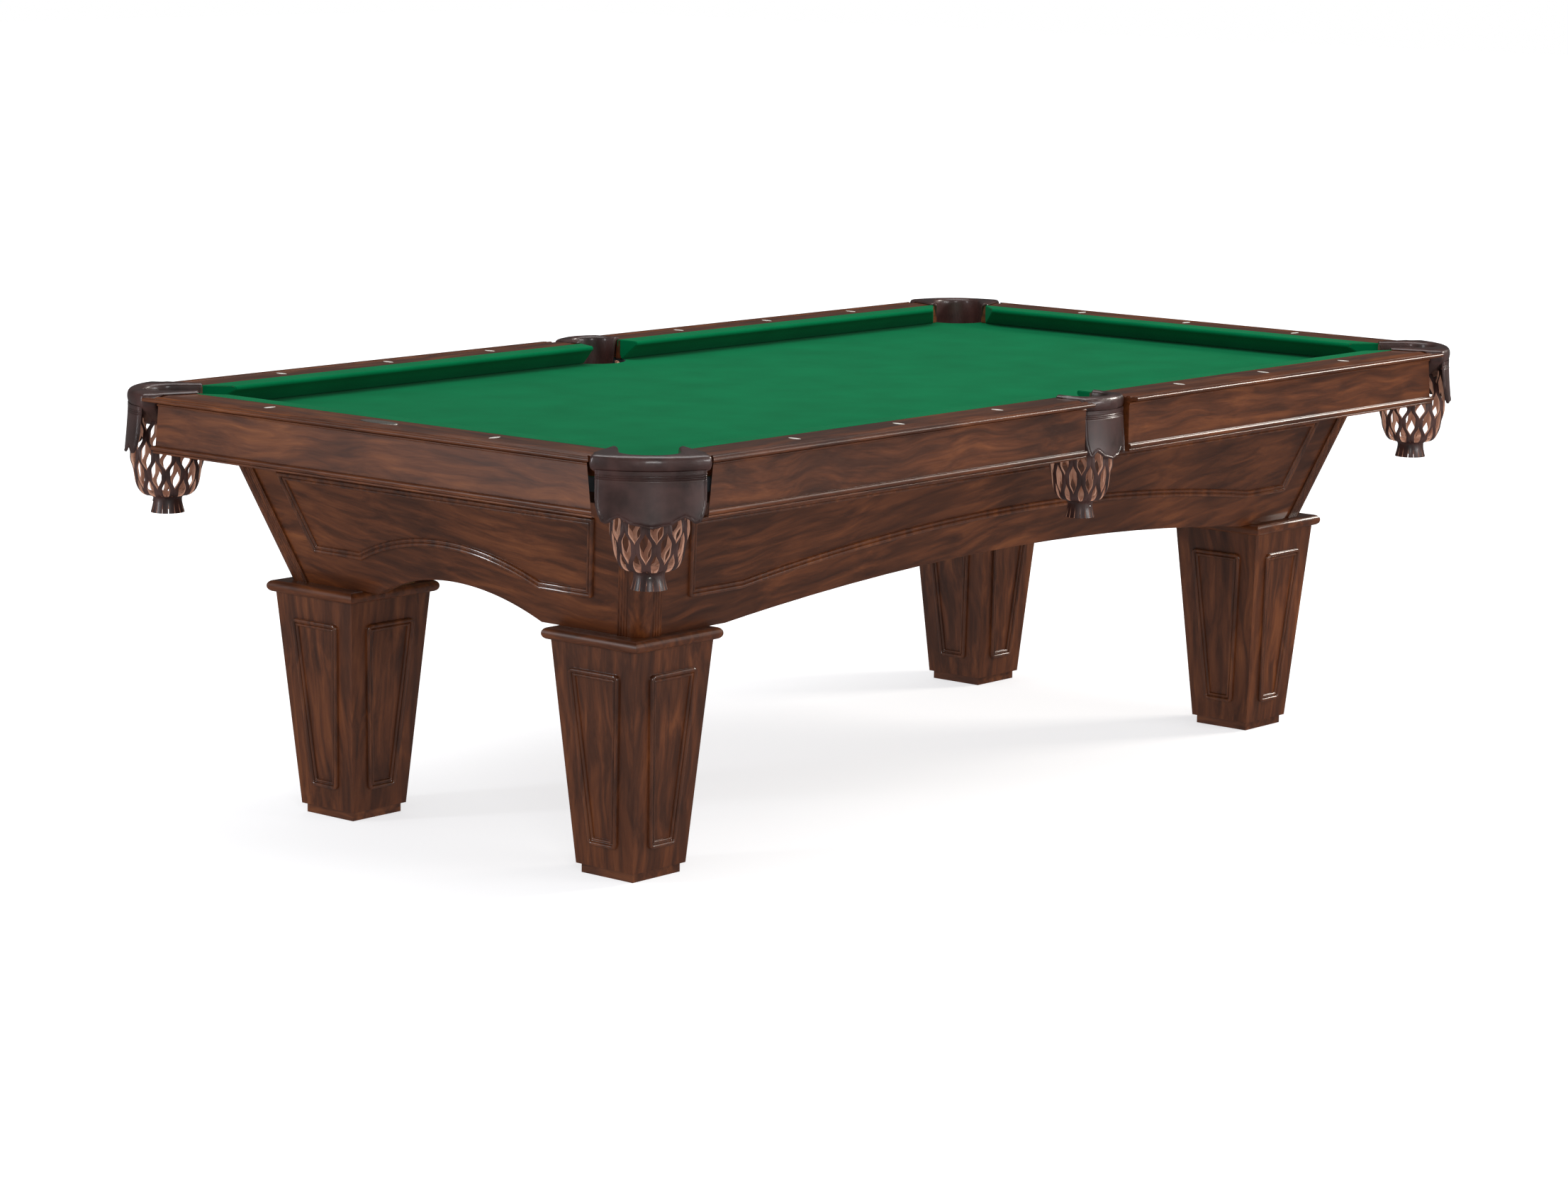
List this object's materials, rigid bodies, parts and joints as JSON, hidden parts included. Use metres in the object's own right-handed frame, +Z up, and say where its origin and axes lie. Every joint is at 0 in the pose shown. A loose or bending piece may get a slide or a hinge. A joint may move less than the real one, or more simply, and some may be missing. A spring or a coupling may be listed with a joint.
{
  "type": "pool table",
  "caption": "Pool table with a slate bed, cushioned rails, leather drop pockets, a leaning arched cabinet and tapered square legs with hidden levellers.",
  "frame": {"origin": "on the floor under the middle of the bed", "axes": "+X along the table's length, +Y across it, +Z up"},
  "size_m": [2.5182, 1.4006, 0.793],
  "materials": {
    "mahogany": "gloss",
    "pine": "matte",
    "wool_cloth": "matte",
    "cushion_rubber": "matte",
    "slate": "matte",
    "collar_leather": "gloss",
    "net_leather": "satin",
    "cast_iron": "matte",
    "zinc_steel": "satin",
    "plate_metal": "satin",
    "pad_plastic": "matte",
    "sight_pearl": "gloss"
  },
  "bodies": {
    "table": {"bed_beams": "pine", "bed_cloth": "wool_cloth", "cabinet_foot": "mahogany", "cabinet_head": "mahogany", "cabinet_left": "mahogany", "cabinet_posts": "mahogany", "cabinet_right": "mahogany", "corner_blocks": "pine", "corner_collars": "collar_leather", "cushion_foot": "cushion_rubber", "cushion_head": "cushion_rubber", "cushion_left_foot": "cushion_rubber", "cushion_left_head": "cushion_rubber", "cushion_right_foot": "cushion_rubber", "cushion_right_head": "cushion_rubber", "end_aprons": "mahogany", "feather_strips": "mahogany", "foot_blocks": "mahogany", "leg_bolts": "zinc_steel", "leg_caps": "mahogany", "leg_frames": "mahogany", "leg_left_foot": "mahogany", "leg_left_head": "mahogany", "leg_right_foot": "mahogany", "leg_right_head": "mahogany", "leveller_inserts": "zinc_steel", "panel_mouldings": "mahogany", "pocket_irons": "cast_iron", "pocket_net_left_foot": "net_leather", "pocket_net_left_head": "net_leather", "pocket_net_left_middle": "net_leather", "pocket_net_right_foot": "net_leather", "pocket_net_right_head": "net_leather", "pocket_net_right_middle": "net_leather", "pocket_shields": "collar_leather", "rail_bolts": "zinc_steel", "rail_cloth": "wool_cloth", "rail_foot": "mahogany", "rail_head": "mahogany", "rail_left_foot": "mahogany", "rail_left_head": "mahogany", "rail_plate": "plate_metal", "rail_right_foot": "mahogany", "rail_right_head": "mahogany", "rail_sights": "sight_pearl", "side_aprons": "mahogany", "side_collars": "collar_leather", "slate_backer": "pine", "slate_foot": "slate", "slate_head": "slate", "slate_middle": "slate", "slate_screws": "zinc_steel"},
    "leveller_left_head": {"leveller_pad_left_head": "pad_plastic", "leveller_stud_left_head": "zinc_steel"},
    "leveller_right_head": {"leveller_pad_right_head": "pad_plastic", "leveller_stud_right_head": "zinc_steel"},
    "leveller_left_foot": {"leveller_pad_left_foot": "pad_plastic", "leveller_stud_left_foot": "zinc_steel"},
    "leveller_right_foot": {"leveller_pad_right_foot": "pad_plastic", "leveller_stud_right_foot": "zinc_steel"}
  },
  "joints": [
    {"name": "leveller_left_head_travel", "type": "slide", "parent": "table", "child": "leveller_left_head", "axis": [0, 0, 1], "range_m": [-0.02, 0]},
    {"name": "leveller_right_head_travel", "type": "slide", "parent": "table", "child": "leveller_right_head", "axis": [0, 0, 1], "range_m": [-0.02, 0]},
    {"name": "leveller_left_foot_travel", "type": "slide", "parent": "table", "child": "leveller_left_foot", "axis": [0, 0, 1], "range_m": [-0.02, 0]},
    {"name": "leveller_right_foot_travel", "type": "slide", "parent": "table", "child": "leveller_right_foot", "axis": [0, 0, 1], "range_m": [-0.02, 0]}
  ]
}
